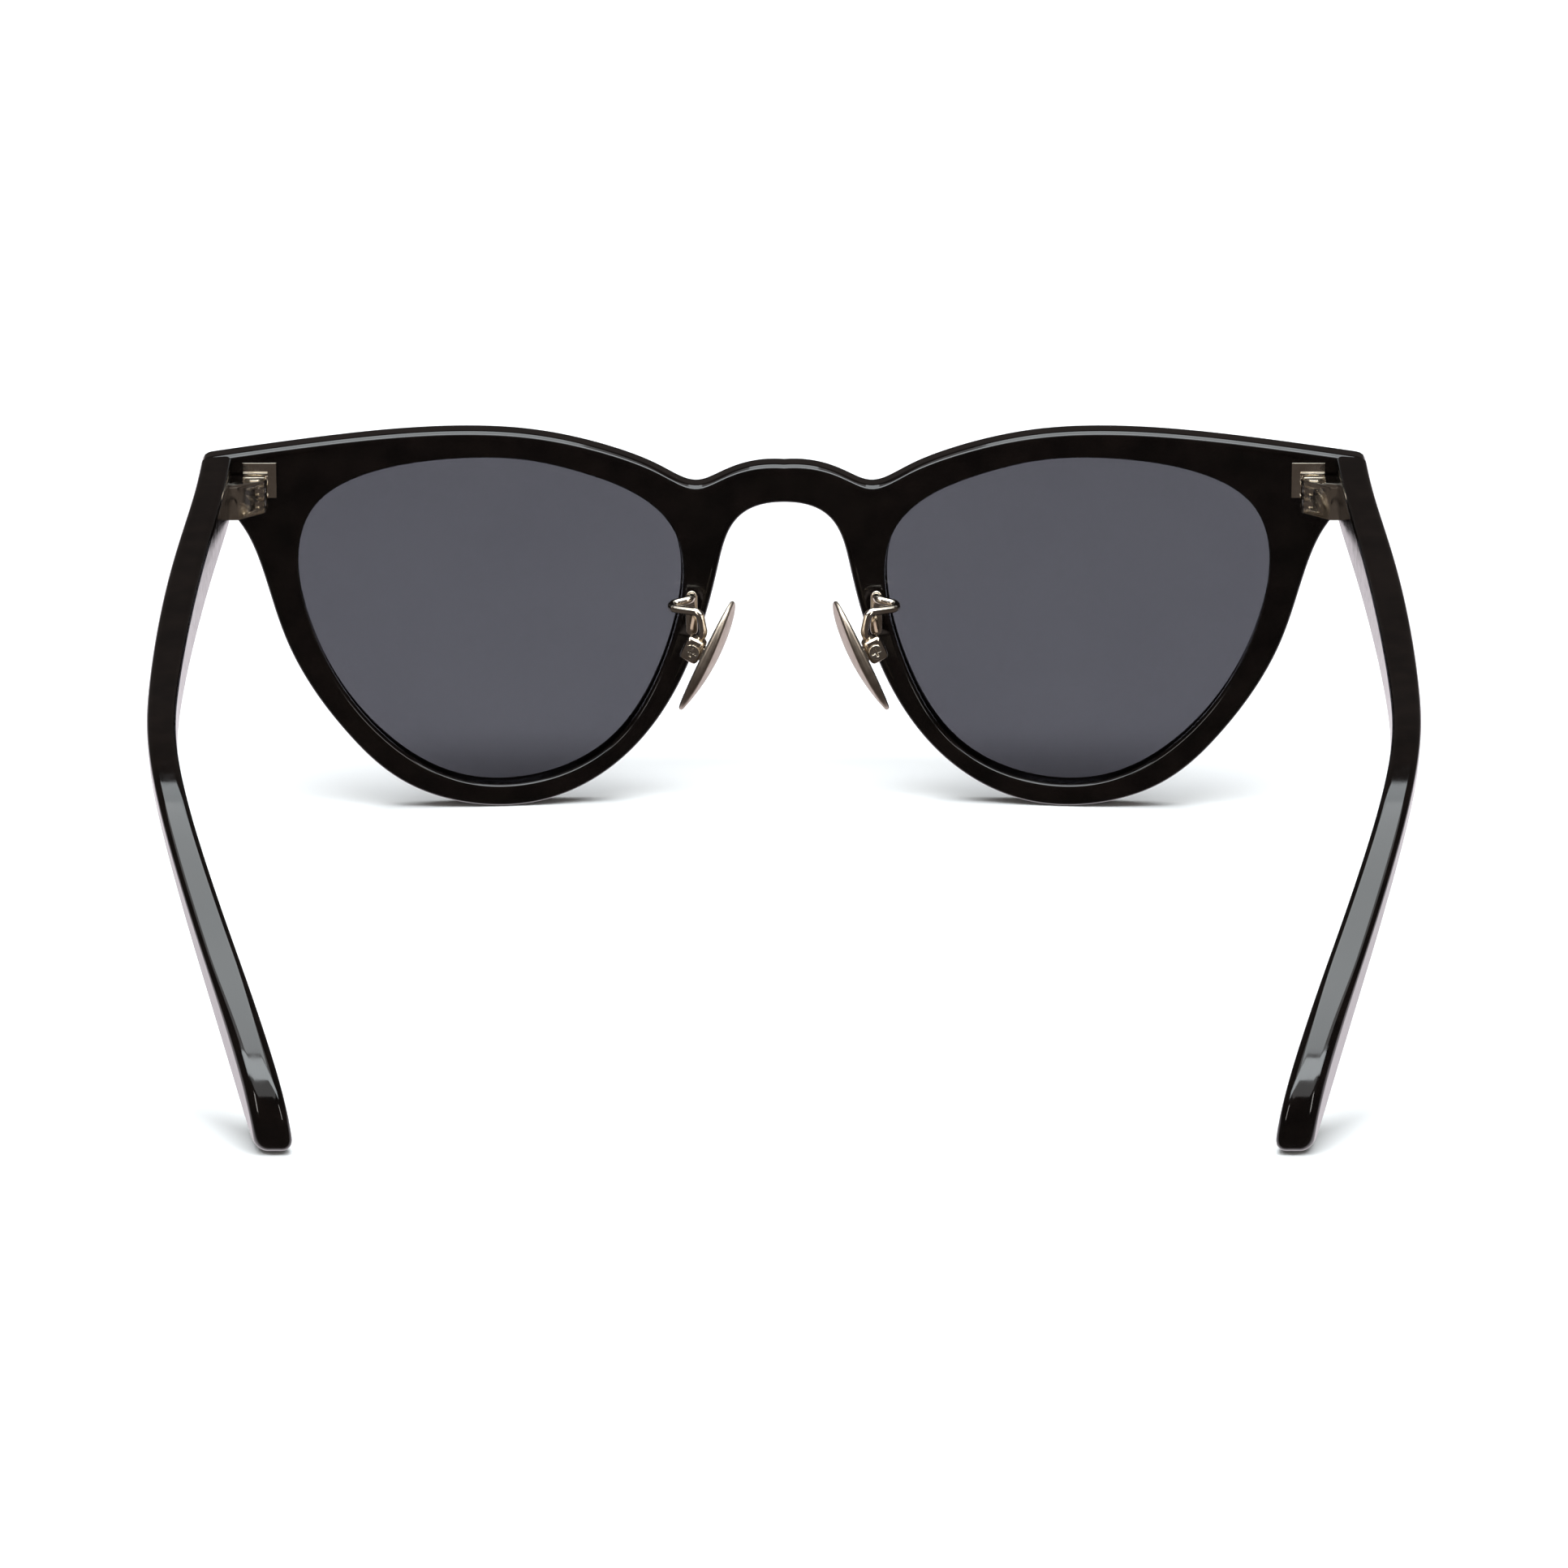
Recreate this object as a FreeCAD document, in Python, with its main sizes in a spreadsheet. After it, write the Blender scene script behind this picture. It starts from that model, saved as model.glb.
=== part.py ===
import FreeCAD, Part
import math
import os
import re
import Sketcher

# Cat eye sunglasses, open, standing on the rims' lowest points and the temple tips.
# Millimetres.  +Z is up, the front's outer face looks towards -Y, and the temples run
# towards +Y.  The wearer's left is +X.  The origin is at the bottom centre of the box
# around the whole object.  Formulas measure Y from the outer face at the bridge, and
# every piece is then moved forward by half the overall depth.  Left pieces are made
# first, and the right ones are their mirror images.

SIZES = {
    # front
    "lens_width": 48.2,
    "lens_height": 42.6,
    "bridge_width": 23.0,
    "lens_tongue": 0.75,
    "lens_thickness": 1.8,
    "lens_curve": 265.0,
    "lens_forward": 0.4,
    "lens_gap": 0.02,
    "rim_bottom": 2.9,
    "rim_top": 3.2,
    "rim_side": 3.9,
    "end_piece": 11.25,
    "front_thickness": 4.0,
    "front_curve": 355.0,
    "front_rounding": 0.6,
    "corner_rounding": 1.2,
    "brow_drop": 2.2,
    "bridge_drop": 4.7,
    "bridge_height": 4.8,
    # temples
    "overall_depth": 142.6,
    "temple_gap": 0.15,
    "temple_step": 0.3,
    "temple_top": 45.3,
    "temple_height": 7.5,
    "temple_thickness": 3.7,
    "temple_tilt": 38.0,
    "temple_rounding": 0.9,
    "core_radius": 0.7,
    "core_gap": 0.02,
    "core_start": 20.0,
    "core_end": 98.0,
    # hinges
    "pivot_inset": 6.7,
    "pivot_behind": 2.1,
    "leaf": 0.8,
    "leaf_gap": 0.04,
    "leaf_radius": 1.5,
    "stack_bottom": 39.0,
    "plate_width": 4.0,
    "plate_raise": 1.1,
    "plate_above": 1.4,
    "plate_depth": 1.9,
    "plate_proud": 0.75,
    "plate_shift": 0.5,
    "ledge_width": 2.9,
    "ledge_proud": 0.5,
    "ledge_above": 0.3,
    "ledge_gap": 0.15,
    "hinge_embed": 0.8,
    "block_length": 5.9,
    "block_flat": 1.3,
    "block_shift": 0.45,
    "slot_room": 0.6,
    "screw_radius": 0.6,
    "screw_fit": 0.02,
    "knuckle_fit": 0.05,
    "head_radius": 1.15,
    "head_height": 0.4,
    "head_proud": 0.1,
    "driver_slot": 0.3,
    # nose pads
    "mount_width": 1.45,
    "mount_length": 5.6,
    "mount_embed": 0.5,
    "mount_proud": 0.7,
    "mount_side": 0.3,
    "mount_height": 24.2,
    "arm_radius": 0.5,
    "arm_bend": 0.9,
    "arm_loop": 3.9,
    "arm_rise": 1.5,
    "arm_seat": -0.1,
    "arm_drop": 0.65,
    "arm_straight": 1.4,
    "arm_swing": 2.5,
    "arm_return": 1.0,
    "arm_short": 0.1,
    "box_side": 0.7,
    "box_behind": 10.0,
    "box_height": 21.1,
    "box_wide": 2.3,
    "box_tall": 3.1,
    "box_wall": 0.45,
    "box_reach": 1.0,
    "box_back": 0.9,
    "pad_yaw": 12.0,
    "pad_lean": 25.0,
    "lug_radius": 0.8,
    "lug_gap": 0.05,
    "pad_screw_radius": 0.45,
    "pad_head_radius": 0.9,
    "pad_head_height": 0.45,
    "cross_width": 0.25,
    "cross_length": 1.2,
    "pad_length": 13.8,
    "pad_width": 7.0,
    "pad_thickness": 1.6,
    "pad_curve": 26.0,
    "pad_stand": 1.4,
}

# Formulas that several pieces share.
HALF_OPEN_WIDTH = "(lens_width / 2 - lens_tongue)"
HALF_OPEN_HEIGHT = "(lens_height / 2 - lens_tongue)"
LENS_X = "((bridge_width + lens_width) / 2)"
LENS_Z = f"({HALF_OPEN_HEIGHT} + rim_bottom)"
FRONT_TOP = f"(2 * {HALF_OPEN_HEIGHT} + rim_bottom + rim_top)"
HALF_FRONT = f"({LENS_X} + {HALF_OPEN_WIDTH} + end_piece)"
LENS_TURN = f"asin({LENS_X} / front_curve)"
PIVOT_X = f"({HALF_FRONT} - pivot_inset)"
BACK_RADIUS = "(front_curve - front_thickness)"


def back_face(x):
    """Formula for the Y of the front's back face at a given X."""
    return f"(front_curve - sqrt({BACK_RADIUS}^2 - ({x})^2))"


PLATE_BACK = f"({back_face(PIVOT_X)} + plate_proud)"
PIVOT_Y = f"({PLATE_BACK} + pivot_behind)"
STACK_HEIGHT = "(5 * leaf)"

DOC = FreeCAD.newDocument("CatEyeSunglasses")
SHEET = DOC.addObject("Spreadsheet::Sheet", "Sizes")
for row, (alias, number) in enumerate(SIZES.items(), start=1):
    SHEET.set(f"A{row}", alias)
    SHEET.set(f"B{row}", str(number))
    SHEET.setAlias(f"B{row}", alias)
DOC.recompute()


def bound(formula):
    """A formula of size names, as an expression on the sheet."""
    def on_sheet(word):
        name = word.group()
        return "Sizes." + name if name in SIZES else name
    return re.sub(r"[a-z_]+", on_sheet, str(formula))


def value(formula):
    """The number that a formula has now."""
    result = SHEET.evalExpression(bound(formula))
    return float(getattr(result, "Value", result))


def vector(x, y, z):
    """A point, with Y measured from the outer face at the bridge."""
    return FreeCAD.Vector(value(x), value(y) - value("overall_depth / 2"), value(z))


def place(item, x=0, y=0, z=0, yaw=0, pitch=0, roll=0):
    """Bind an item's place, with Y measured from the outer face at the bridge."""
    shift = f"vector({bound(x)}; {bound(y)} - Sizes.overall_depth / 2; {bound(z)})"
    turn = f"rotation({bound(yaw)}; {bound(pitch)}; {bound(roll)})"
    item.setExpression("Placement", f"placement({shift}; {turn})")
    return item


# ---------------------------------------------------------------- sketch helpers

def new_sketch(body, role):
    """An empty sketch on one of the body's own origin planes."""
    plane = next(item for item in body.Origin.OriginFeatures if item.Role == role)
    sketch = body.newObject("Sketcher::SketchObject", body.Name + "_sketch")
    sketch.AttachmentSupport = [(plane, "")]
    sketch.MapMode = "FlatFace"
    return sketch


def pin(sketch, geometry, vertex, point):
    """Hold one vertex of a sketch at a point given as two formulas."""
    for kind, formula in zip(("DistanceX", "DistanceY"), point):
        held = Sketcher.Constraint(kind, -1, 1, geometry, vertex, value(formula))
        index = sketch.addConstraint(held)
        sketch.setExpression(f"Constraints[{index}]", bound(formula))


def flat(point):
    """A sketch point from two formulas."""
    return FreeCAD.Vector(value(point[0]), value(point[1]), 0)


def add_spline(sketch, poles, closed=False):
    """A cubic B-spline whose poles are bound to their formulas."""
    points = [flat(pole) for pole in poles]
    curve = Part.BSplineCurve()
    if closed:
        curve.buildFromPolesMultsKnots(points, periodic=True, degree=3)
    else:
        spans = len(points) - 3
        knots = list(range(spans + 1))
        mults = [4] + [1] * (spans - 1) + [4]
        curve.buildFromPolesMultsKnots(points, mults, knots, False, 3)
    spline = sketch.addGeometry(curve, False)
    for index, (pole, point) in enumerate(zip(poles, points)):
        normal = FreeCAD.Vector(0, 0, 1)
        handle = sketch.addGeometry(Part.Circle(point, normal, 1), True)
        kind = "InternalAlignment:Sketcher::BSplineControlPoint"
        sketch.addConstraint(Sketcher.Constraint(kind, handle, 3, spline, index))
        pin(sketch, handle, 3, pole)


def add_lines(sketch, points, closed=True):
    """Straight edges through points given as formulas."""
    ends = points[1:] + points[:1] if closed else points[1:]
    for start, end in zip(points, ends):
        line = sketch.addGeometry(Part.LineSegment(flat(start), flat(end)), False)
        pin(sketch, line, 1, start)
        pin(sketch, line, 2, end)


def extrude(body, sketch, length, midplane=False):
    """Pad a sketch by a length given as a formula."""
    pad = body.newObject("PartDesign::Pad", body.Name + "_pad")
    pad.Profile = sketch
    pad.Midplane = midplane
    pad.setExpression("Length", bound(length))
    sketch.Visibility = False


def new_body(name):
    """An empty body."""
    body = DOC.addObject("PartDesign::Body", name)
    body.Label = name
    return body


# ---------------------------------------------------------------- solid helpers

def box(name, x, y, z, wide, deep, tall):
    """A box from its lowest corner and its three sizes."""
    item = DOC.addObject("Part::Box", name)
    item.setExpression("Length", bound(wide))
    item.setExpression("Width", bound(deep))
    item.setExpression("Height", bound(tall))
    return place(item, x, y, z)


def rod(name, x, y, z, radius, height, yaw=0, pitch=0, roll=0):
    """A cylinder from the centre of its first face."""
    item = DOC.addObject("Part::Cylinder", name)
    item.setExpression("Radius", bound(radius))
    item.setExpression("Height", bound(height))
    return place(item, x, y, z, yaw, pitch, roll)


def cut(name, base, *tools):
    """The base less every tool."""
    item = DOC.addObject("Part::Cut", name)
    item.Base = base
    item.Tool = tools[0] if len(tools) == 1 else join(name + "_tools", *tools)
    item.Label = name
    return item


def join(name, *pieces):
    """One solid from several."""
    item = DOC.addObject("Part::MultiFuse", name)
    item.Shapes = list(pieces)
    item.Label = name
    return item


def overlap(name, *pieces):
    """What several solids share."""
    item = DOC.addObject("Part::MultiCommon", name)
    item.Shapes = list(pieces)
    item.Label = name
    return item


def mirror(name, source):
    """The right-hand twin of a left-hand piece."""
    item = DOC.addObject("Part::Mirroring", name)
    item.Source = source
    item.Normal = (1, 0, 0)
    item.Base = (0, 0, 0)
    item.Label = name
    return item


def both(name, source):
    """A left-hand tool and its right-hand twin, as one tool."""
    return join(name + "_pair", source, mirror(name + "_twin", source))


def rounded(name, source, radius, wanted):
    """The source with the edges that pass a test rounded."""
    DOC.recompute()
    edges = [
        (number, value(radius), value(radius))
        for number, edge in enumerate(source.Shape.Edges, start=1)
        if wanted(edge)
    ]
    item = DOC.addObject("Part::Fillet", name)
    item.Base = source
    item.Edges = edges
    item.Label = name
    return item


def bent_wire(name, points, bend, radius):
    """A round wire along straight runs that arcs join."""
    edges = []
    start = points[0]
    for before, corner, after in zip(points, points[1:], points[2:]):
        incoming = (corner - before).normalize()
        outgoing = (after - corner).normalize()
        half_turn = incoming.getAngle(outgoing) / 2
        setback = bend * math.tan(half_turn)
        first = corner - incoming * setback
        last = corner + outgoing * setback
        inward = (outgoing - incoming).normalize()
        middle = corner + inward * (bend / math.cos(half_turn) - bend)
        edges.append(Part.LineSegment(start, first).toShape())
        edges.append(Part.Arc(first, middle, last).toShape())
        start = last
    edges.append(Part.LineSegment(start, points[-1]).toShape())
    return sweep(name, Part.Wire(edges), points[1] - points[0], radius)


def sweep(name, path, direction, radius):
    """A round section carried along a path."""
    start = path.Edges[0].Vertexes[0].Point
    circle = Part.Wire(Part.makeCircle(radius, start, direction))
    item = DOC.addObject("Part::Feature", name)
    item.Shape = path.makePipeShell([circle], True, True)
    item.Label = name
    return item


# ---------------------------------------------------------------- front and lenses

# The lens outline as shares of its half width and half height, from the temple side
# and round over the brow.
LENS_SHAPE = [
    (0.99, -0.02),
    (1.08, 0.90),
    (0.03, 1.03),
    (-0.43, 0.92),
    (-1.12, 0.60),
    (-0.86, -0.50),
    (-0.49, -0.96),
    (0.16, -1.07),
    (0.66, -0.65),
]


def lens_blank(name, half_width, half_height, depth):
    """A prism of the lens outline, square to the turned lens."""
    body = new_body(name)
    sketch = new_sketch(body, "XZ_Plane")
    poles = [(f"{x} * {half_width}", f"{z} * {half_height}") for x, z in LENS_SHAPE]
    add_spline(sketch, poles, closed=True)
    extrude(body, sketch, depth, midplane=True)
    middle = f"(front_curve - (front_curve - front_thickness / 2) * cos({LENS_TURN}))"
    return place(body, LENS_X, middle, LENS_Z, yaw=LENS_TURN)


def lens_shell(name, clearance):
    """A dished plate between two spheres, behind the lens outline."""
    reach = "(front_curve - front_thickness / 2 - lens_curve + lens_forward)"
    centre = (f"{reach} * {LENS_X} / front_curve", f"front_curve - {reach} * cos({LENS_TURN})")
    spheres = []
    for side, radius in (
        ("outer", f"lens_curve + lens_thickness / 2 + {clearance}"),
        ("inner", f"lens_curve - lens_thickness / 2 - {clearance}"),
    ):
        ball = DOC.addObject("Part::Sphere", f"{name}_{side}")
        ball.setExpression("Radius", bound(radius))
        spheres.append(place(ball, centre[0], centre[1], LENS_Z))
    return cut(name, *spheres)


def make_lens():
    """One dished lens."""
    blank = lens_blank("lens_blank", "lens_width / 2", "lens_height / 2", "4 * front_thickness")
    return overlap("left_lens", blank, lens_shell("lens_shell", 0))


def front_outline():
    """The front's outline seen from ahead, as a deep prism."""
    rim_x = f"({HALF_OPEN_WIDTH} + rim_side)"
    rim_z = f"({HALF_OPEN_HEIGHT} + rim_bottom)"
    bridge = "(bridge_width / 2)"
    bridge_top = f"({FRONT_TOP} - bridge_drop)"
    bridge_under = f"({bridge_top} - bridge_height)"
    corner = (HALF_FRONT, f"{FRONT_TOP} - brow_drop")
    brow = [
        (0, bridge_top),
        (f"0.47 * {bridge}", f"{bridge_top} + 0.4"),
        (f"0.90 * {bridge}", f"{bridge_top} - 4.3"),
        (f"1.27 * {bridge}", f"{bridge_top} - 0.2"),
        (f"{LENS_X} - 0.33 * {rim_x}", f"{FRONT_TOP} - 1.0"),
        (f"{LENS_X} + 0.02 * {rim_x}", f"{FRONT_TOP} + 0.15"),
        (f"{LENS_X} + 0.46 * {rim_x}", FRONT_TOP),
        (f"{LENS_X} + 0.88 * {rim_x}", f"{FRONT_TOP} - 0.5 * brow_drop"),
        corner,
    ]
    lower = [
        corner,
        (f"{HALF_FRONT} - 0.3", f"{corner[1]} - 4.0"),
        (f"{LENS_X} + 1.03 * {rim_x}", f"{LENS_Z} + 0.59 * {rim_z}"),
        (f"{LENS_X} + 0.94 * {rim_x}", f"{LENS_Z} - 0.085 * {rim_z}"),
        (f"{LENS_X} + 0.64 * {rim_x}", f"{LENS_Z} - 0.61 * {rim_z}"),
        (f"{LENS_X} + 0.34 * {rim_x}", f"{LENS_Z} - 0.95 * {rim_z}"),
        (f"{LENS_X} - 0.20 * {rim_x}", f"{LENS_Z} - 1.05 * {rim_z}"),
        (f"{LENS_X} - 0.63 * {rim_x}", f"{LENS_Z} - 0.77 * {rim_z}"),
        (f"{LENS_X} - 0.89 * {rim_x}", f"{LENS_Z} - 0.30 * {rim_z}"),
        (f"{LENS_X} - 1.02 * {rim_x}", f"{LENS_Z} + 0.26 * {rim_z}"),
        (f"0.56 * {bridge}", bridge_under),
        (0, bridge_under),
    ]
    body = new_body("front_outline")
    sketch = new_sketch(body, "XZ_Plane")
    for half in (brow, lower):
        add_spline(sketch, half)
        add_spline(sketch, [(f"-({x})", z) for x, z in half])
    extrude(body, sketch, "20 * front_thickness", midplane=True)
    return place(body)


def is_face_edge(edge):
    """True for an edge that lies on the front's outer or back face."""
    curve = value("front_curve")
    centre = vector(0, "front_curve", 0)
    for share in (0.1, 0.5, 0.9):
        first, last = edge.ParameterRange
        point = edge.valueAt(first + share * (last - first))
        radius = math.hypot(point.x - centre.x, point.y - centre.y)
        gap = min(abs(radius - curve), abs(radius - value(BACK_RADIUS)))
        if gap > 0.01:
            return False
    return True


def is_front_corner(edge):
    """True for the edge through the front's thickness at the outer top corner."""
    middle = edge.CenterOfMass
    corner_height = value(f"{FRONT_TOP} - brow_drop")
    return abs(abs(middle.x) - value(HALF_FRONT)) < 0.1 and abs(middle.z - corner_height) < 0.1


def make_front(hinge_seat, mount_seat):
    """The front, curved in plan, with lens openings, grooves and hardware seats."""
    outer = rod("wrap_outer", 0, "front_curve", 0, "front_curve", FRONT_TOP + " + 1")
    inner = rod("wrap_inner", 0, "front_curve", 0, BACK_RADIUS, FRONT_TOP + " + 1")
    shell = overlap("front_shell", front_outline(), cut("wrap_shell", outer, inner))
    cornered = rounded("front_cornered", shell, "corner_rounding", is_front_corner)
    through = "8 * front_thickness"
    opening = lens_blank("opening_blank", HALF_OPEN_WIDTH, HALF_OPEN_HEIGHT, through)
    opened = cut("front_opened", cornered, both("opening", opening))
    polished = rounded("front_polished", opened, "front_rounding", is_face_edge)
    half_width = "(lens_width / 2 + lens_gap)"
    half_height = "(lens_height / 2 + lens_gap)"
    groove_blank = lens_blank("groove_blank", half_width, half_height, "4 * front_thickness")
    groove = overlap("groove", groove_blank, lens_shell("groove_shell", "lens_gap"))
    seats = [both("groove", groove), both("hinge_seat", hinge_seat), both("mount_seat", mount_seat)]
    return cut("front_frame", polished, *seats)


# ---------------------------------------------------------------- temples

def temple_side():
    """The temple's outline seen from the side."""
    start = back_face(f"{HALF_FRONT} - temple_thickness")
    run = f"(overall_depth - {start})"

    def along(share):
        return f"{start} + {share} * {run}"

    top = [
        (start, "temple_top"),
        (along(0.07), "0.976 * temple_top"),
        (along(0.18), "0.932 * temple_top"),
        (along(0.364), "0.862 * temple_top"),
        (along(0.535), "0.790 * temple_top"),
        (along(0.738), "0.738 * temple_top"),
        (along(0.862), "0.415 * temple_top"),
        (along(1.0), "0.200 * temple_top"),
        (along(1.0), "0.078 * temple_top"),
    ]
    under = [
        (along(1.0), "0.078 * temple_top"),
        (along(1.0), "-0.004 * temple_top"),
        (along(0.962), "-0.012 * temple_top"),
        (along(0.905), "0.140 * temple_top"),
        (along(0.800), "0.420 * temple_top"),
        (along(0.725), "0.628 * temple_top"),
        (along(0.560), "0.682 * temple_top"),
        (along(0.30), "0.908 * temple_top - temple_height"),
        (along(0.10), "0.973 * temple_top - temple_height"),
        (start, "temple_top - temple_height"),
    ]
    body = new_body("temple_side")
    sketch = new_sketch(body, "YZ_Plane")
    add_spline(sketch, top)
    add_spline(sketch, under)
    add_lines(sketch, [under[-1], top[0]], closed=False)
    extrude(body, sketch, f"4 * {HALF_FRONT}", midplane=True)
    return place(body)


def temple_plan():
    """The temple's outline seen from above, square to the drop behind the ear."""
    run = "(overall_depth * cos(temple_tilt) + temple_top * sin(temple_tilt))"
    outer_x = f"({HALF_FRONT} - temple_step)"
    inner_x = f"({outer_x} - temple_thickness)"

    def along(share):
        return f"{share} * {run}"

    outer = [
        (outer_x, along(0.0)),
        (outer_x, along(0.08)),
        (f"{outer_x} + 0.5", along(0.152)),
        (f"{outer_x} + 2.1", along(0.279)),
        (f"{outer_x} + 2.7", along(0.487)),
        (f"{outer_x} + 0.9", along(0.681)),
        (f"{outer_x} - 9.0", along(0.889)),
        (f"{outer_x} - 12.9", along(1.0)),
    ]
    inner = [
        (inner_x, along(0.0)),
        (inner_x, along(0.08)),
        (f"{inner_x} + 0.6", along(0.152)),
        (f"{inner_x} + 1.9", along(0.279)),
        (f"{inner_x} + 2.9", along(0.495)),
        (f"{inner_x} + 1.6", along(0.675)),
        (f"{inner_x} - 9.8", along(0.895)),
        (f"{inner_x} - 13.4", along(1.0)),
    ]
    body = new_body("temple_plan")
    sketch = new_sketch(body, "XY_Plane")
    add_spline(sketch, outer)
    add_spline(sketch, inner)
    add_lines(sketch, [inner[0], outer[0]], closed=False)
    add_lines(sketch, [outer[-1], inner[-1]], closed=False)
    extrude(body, sketch, f"4 * {FRONT_TOP}", midplane=True)
    return place(body, 0, 0, "temple_top", roll="0 - temple_tilt")


def is_long_edge(edge):
    """True for the temple's four long edges."""
    return edge.BoundBox.YLength > 20


def core_path():
    """The slightly bowed line that the core wire follows."""
    points = []
    for y, side, drop in (
        ("core_start", -1.85, "0.088 * temple_top"),
        ("(core_start + core_end) / 2", 0.35, "0.197 * temple_top"),
        ("core_end", -0.75, "0.306 * temple_top"),
    ):
        points.append(vector(f"{HALF_FRONT} + {side}", y, f"temple_top - {drop}"))
    return Part.Wire([Part.Arc(*points).toShape()]), points


def make_core(name, radius):
    """The core wire, or the channel that holds it."""
    path, points = core_path()
    direction = path.Edges[0].tangentAt(path.Edges[0].FirstParameter)
    return sweep(name, path, direction, value(radius))


def make_temple(hinge_seat):
    """The temple, with its hinge seat and its wire channel."""
    behind_front = rod(
        "behind_front", 0, "front_curve", 0, f"{BACK_RADIUS} - temple_gap", f"2 * {FRONT_TOP}"
    )
    bar = overlap("temple_bar", temple_side(), temple_plan(), behind_front)
    smooth = rounded("temple_smooth", bar, "temple_rounding", is_long_edge)
    channel = make_core("core_channel", "core_radius + core_gap")
    return cut("left_temple", smooth, hinge_seat, channel)


# ---------------------------------------------------------------- hinges

def plate_box(name, clearance):
    """The hinge plate let into the end piece, or its seat."""
    return box(
        name,
        f"{PIVOT_X} - plate_width / 2 - plate_shift - {clearance}",
        f"{PLATE_BACK} - plate_depth - {clearance}",
        f"stack_bottom + plate_raise - {clearance}",
        f"plate_width + 2 * {clearance}",
        f"plate_depth + 2 * {clearance}",
        f"{STACK_HEIGHT} - plate_raise + plate_above + 2 * {clearance}",
    )


def make_front_hinge():
    """The plate and ledge with the two front leaves."""
    plate = plate_box("front_plate", 0)
    ledge = box(
        "front_ledge",
        f"{PIVOT_X} - ledge_width / 2",
        PLATE_BACK,
        "stack_bottom",
        "ledge_width",
        "ledge_proud",
        f"{STACK_HEIGHT} + ledge_above",
    )
    room_height = f"2 * {STACK_HEIGHT}"
    ledge_room = rod(
        "ledge_room", PIVOT_X, PIVOT_Y, "stack_bottom - 1", "leaf_radius + ledge_gap", room_height
    )
    leaves = []
    for number in (1, 3):
        level = f"stack_bottom + {number} * leaf + leaf_gap"
        tall = "leaf - 2 * leaf_gap"
        arm = box(
            f"front_leaf_arm_{number}",
            f"{PIVOT_X} - leaf_radius",
            PLATE_BACK,
            level,
            "2 * leaf_radius",
            "pivot_behind",
            tall,
        )
        eye = rod(f"front_leaf_eye_{number}", PIVOT_X, PIVOT_Y, level, "leaf_radius", tall)
        leaves += [arm, eye]
    ledge_cut = cut("front_ledge_cut", ledge, ledge_room)
    whole = join("front_hinge_whole", plate, ledge_cut, *leaves)
    bore = rod(
        "front_leaf_bore", PIVOT_X, PIVOT_Y, "stack_bottom", "screw_radius + knuckle_fit", STACK_HEIGHT
    )
    return cut("left_front_hinge", whole, bore)


def hinge_block(name, clearance):
    """The block on the temple's inner face, or its seat in the temple."""
    body = new_body(name)
    sketch = new_sketch(body, "XY_Plane")
    inner_x = f"({HALF_FRONT} - temple_step - temple_thickness + block_shift)"
    embedded = f"({inner_x} + hinge_embed + {clearance})"
    ahead = f"({PIVOT_Y} - leaf_radius - {clearance})"
    behind = f"({PIVOT_Y} - leaf_radius + block_length + {clearance})"
    add_lines(sketch, [
        (PIVOT_X, ahead),
        (embedded, ahead),
        (embedded, behind),
        (f"{inner_x} - block_flat", behind),
        (f"{PIVOT_X} - 0.87 * leaf_radius", f"{PIVOT_Y} + 0.5 * leaf_radius"),
        (PIVOT_X, PIVOT_Y),
    ])
    extrude(body, sketch, f"{STACK_HEIGHT} + 2 * {clearance}")
    return place(body, 0, 0, f"stack_bottom - {clearance}")


def make_temple_hinge():
    """The block with its three leaves."""
    eye = rod("temple_eye", PIVOT_X, PIVOT_Y, "stack_bottom", "leaf_radius", STACK_HEIGHT)
    block = join("temple_hinge_block", hinge_block("temple_block", 0), eye)
    rooms = []
    for number in (1, 3):
        level = f"stack_bottom + {number} * leaf"
        reach = "(leaf_radius + slot_room)"
        rooms.append(rod(f"slot_round_{number}", PIVOT_X, PIVOT_Y, level, reach, "leaf"))
        rooms.append(box(
            f"slot_straight_{number}",
            f"{PIVOT_X} - {reach}",
            f"{PIVOT_Y} - 2 * {reach}",
            level,
            f"2 * {reach}",
            f"2 * {reach}",
            "leaf",
        ))
    bore = rod(
        "temple_leaf_bore", PIVOT_X, PIVOT_Y, "stack_bottom", "screw_radius + screw_fit", STACK_HEIGHT
    )
    sink = DOC.addObject("Part::Cone", "screw_sink")
    sink.setExpression("Radius1", bound("screw_radius + screw_fit"))
    sink.setExpression("Radius2", bound("head_radius + screw_fit"))
    sink.setExpression("Height", bound("head_height"))
    place(sink, PIVOT_X, PIVOT_Y, f"stack_bottom + {STACK_HEIGHT} - head_height")
    return cut("left_temple_hinge", block, *rooms, bore, sink)


def make_hinge_screw():
    """The countersunk slotted screw that the hinge turns on."""
    shaft = rod("hinge_shaft", PIVOT_X, PIVOT_Y, "stack_bottom", "screw_radius", STACK_HEIGHT)
    cone = DOC.addObject("Part::Cone", "hinge_screw_cone")
    cone.setExpression("Radius1", bound("screw_radius"))
    cone.setExpression("Radius2", bound("head_radius"))
    cone.setExpression("Height", bound("head_height"))
    place(cone, PIVOT_X, PIVOT_Y, f"stack_bottom + {STACK_HEIGHT} - head_height")
    top = f"(stack_bottom + {STACK_HEIGHT})"
    cap = rod("hinge_screw_cap", PIVOT_X, PIVOT_Y, top, "head_radius", "head_proud")
    slot = box(
        "hinge_screw_slot",
        f"{PIVOT_X} - 2 * head_radius",
        f"{PIVOT_Y} - driver_slot / 2",
        f"{top} - driver_slot",
        "4 * head_radius",
        "driver_slot",
        "2 * driver_slot",
    )
    return cut("left_hinge_screw", join("hinge_screw_solid", shaft, cone, cap), slot)


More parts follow.
